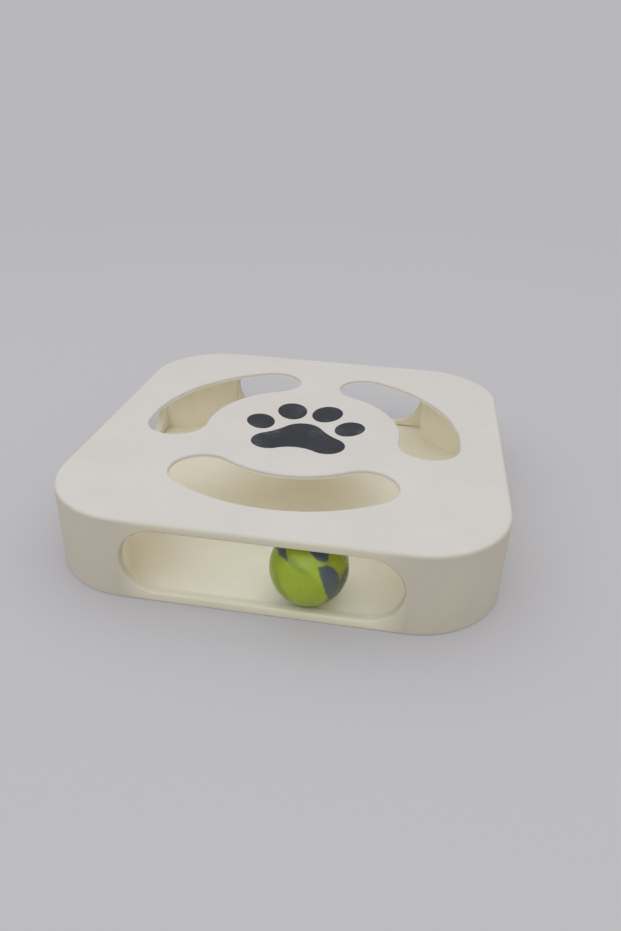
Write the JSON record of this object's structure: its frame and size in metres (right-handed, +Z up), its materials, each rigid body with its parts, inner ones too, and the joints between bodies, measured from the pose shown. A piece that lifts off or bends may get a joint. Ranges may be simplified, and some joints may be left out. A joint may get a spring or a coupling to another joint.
{
  "type": "cat puzzle ball",
  "caption": "Low square cat toy: a rounded case with curved openings in the top, a long window in each side, a flush paw inlay and a loose rubber ball to bat about inside.",
  "frame": {"origin": "middle of the case's underside, on the surface that it stands on", "axes": "+Z up; +X along the front window, to the right as the front is seen; +Y from the front window, where the ball rests, to the back window"},
  "size_m": [0.23, 0.2343, 0.045],
  "materials": {
    "case_plastic": "satin",
    "base_plastic": "satin",
    "paw_plastic": "matte",
    "ball_rubber": "marbled satin",
    "screw_steel": "zinc plated"
  },
  "bodies": {
    "case": {"housing": "case_plastic", "base_plate": "base_plastic", "paw_pad": "paw_plastic", "toe_outer_left": "paw_plastic", "toe_inner_left": "paw_plastic", "toe_inner_right": "paw_plastic", "toe_outer_right": "paw_plastic", "base_screws": "screw_steel"},
    "ball": {"ball": "ball_rubber"}
  },
  "joints": [
    {"name": "ball_roll", "type": "slide", "parent": "case", "child": "ball", "axis": [0, 1, 0], "range_m": [0, 0.2005]}
  ]
}
